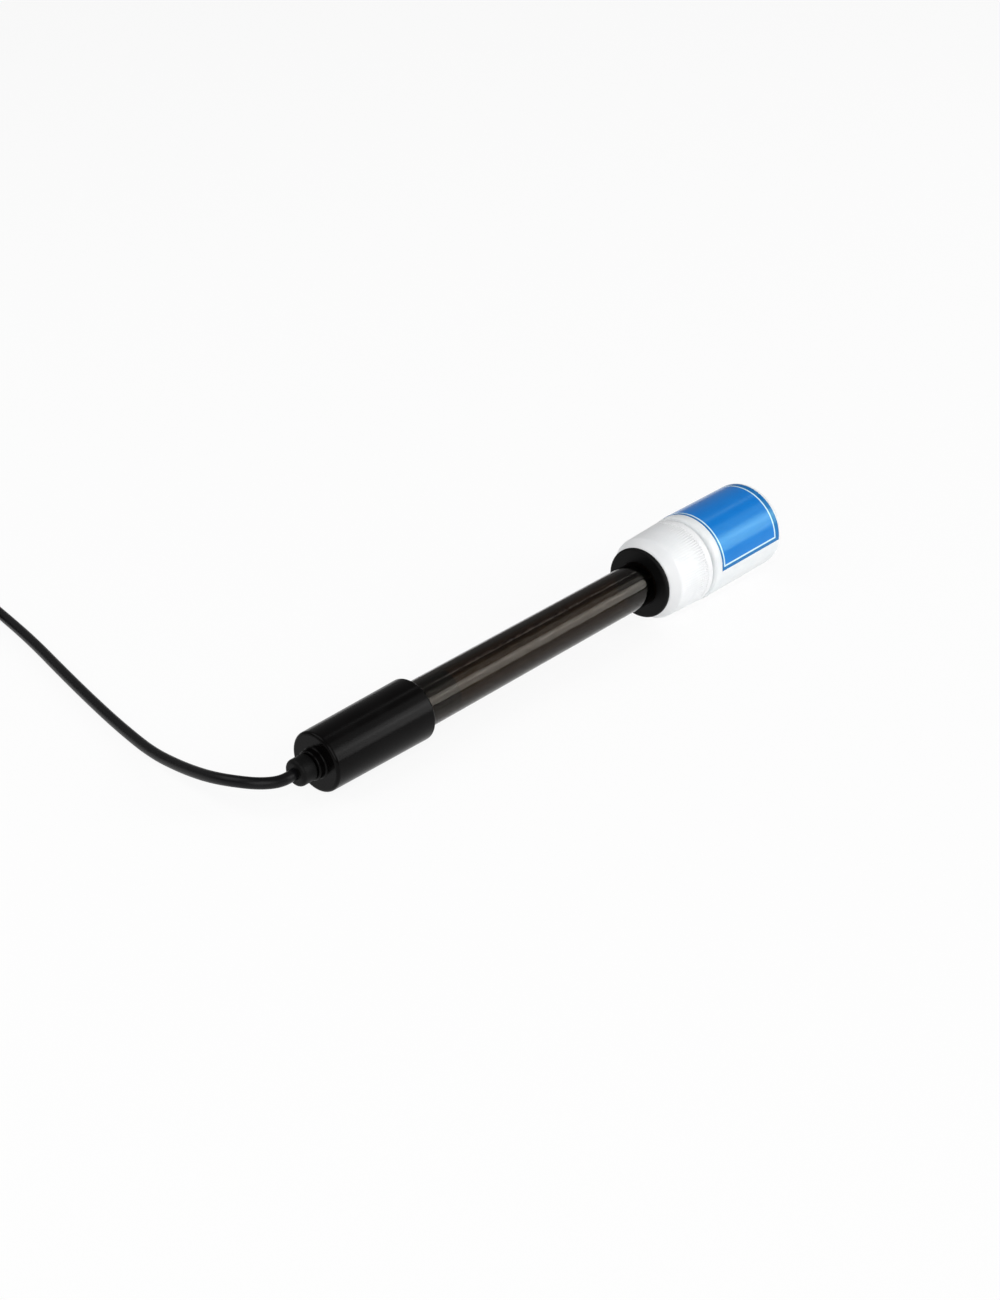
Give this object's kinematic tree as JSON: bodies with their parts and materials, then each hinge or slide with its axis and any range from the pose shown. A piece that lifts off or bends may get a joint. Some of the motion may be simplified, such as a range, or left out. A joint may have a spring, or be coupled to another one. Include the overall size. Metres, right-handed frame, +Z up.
{
  "type": "ph electrode",
  "caption": "Combination pH electrode with a smoked tube, black head cap and lead to a bayonet plug, its glass tip held in a white screw-cap storage bottle.",
  "frame": {"origin": "on the table, under the middle of the electrode's length, as it lies with its bottle on", "axes": "+X along the lying electrode from head cap to bottle, +Z up"},
  "size_m": [0.2161, 0.183, 0.025],
  "materials": {
    "smoked_polycarbonate": "clear smoke-brown, polished",
    "black_plastic": "moulded, semi-gloss",
    "black_rubber": "moulded, satin",
    "electrode_glass": "clear",
    "silver_wire": "drawn wire",
    "junction_ceramic": "porous ceramic",
    "clear_epoxy": "cast resin",
    "black_potting": "cast resin",
    "core_insulation": "extruded",
    "tinned_copper": "tinned",
    "cable_jacket": "extruded, satin",
    "tie_tape": "woven hook and loop tape",
    "nickel_plate": "bright nickel",
    "white_fluoropolymer": "turned",
    "gold_plate": "gold plated",
    "spring_steel": "hardened strip",
    "white_cap_plastic": "moulded, ribbed",
    "grey_rubber": "cut sheet",
    "white_bottle_plastic": "blown, satin",
    "blue_label": "printed film"
  },
  "bodies": {
    "electrode": {"body_tube": "smoked_polycarbonate", "head_cap": "black_plastic", "strain_relief": "black_rubber", "glass_stem": "electrode_glass", "stem_plug": "black_rubber", "measuring_wire": "silver_wire", "reference_wire": "silver_wire", "reference_junction": "junction_ceramic", "lower_seal": "clear_epoxy", "potting_plug": "black_potting", "signal_core": "core_insulation", "shield_lead": "tinned_copper", "cable_run": "cable_jacket", "cable_coil": "cable_jacket", "cable_tail": "cable_jacket", "coil_tie": "tie_tape", "connector_boot": "black_rubber", "connector_body": "nickel_plate", "connector_insulator": "white_fluoropolymer", "centre_pin": "gold_plate", "retaining_clip": "spring_steel"},
    "cap": {"bottle_cap": "white_cap_plastic", "seal_bung": "black_rubber"},
    "gasket": {"cap_gasket": "grey_rubber"},
    "bottle": {"bottle": "white_bottle_plastic", "bottle_neck": "white_bottle_plastic", "bottle_label": "blue_label"},
    "coupling": {"coupling_ring": "nickel_plate"}
  },
  "joints": [
    {"name": "bottle_pull", "type": "slide", "parent": "electrode", "child": "cap", "axis": [0.9995, 0, 0.033], "range_m": [-0.006, 0.066]},
    {"name": "bottle_turn", "type": "hinge", "parent": "cap", "child": "gasket", "pos_m": [0.04175, 0, 0.01152], "axis": [0.9995, 0, 0.033], "range_deg": [0, 540]},
    {"name": "bottle_advance", "type": "slide", "parent": "gasket", "child": "bottle", "axis": [0.9995, 0, 0.033], "range_m": [0, 0.0045]},
    {"name": "coupling_spin", "type": "hinge", "parent": "electrode", "child": "coupling", "pos_m": [-0.12051, 0.10062, 0.0072], "axis": [-0.1685, -0.9857, 0], "continuous": true}
  ],
  "couplings": [
    {"joint": "bottle_advance", "follows": "bottle_turn", "m_per_rad": 0.000477}
  ]
}
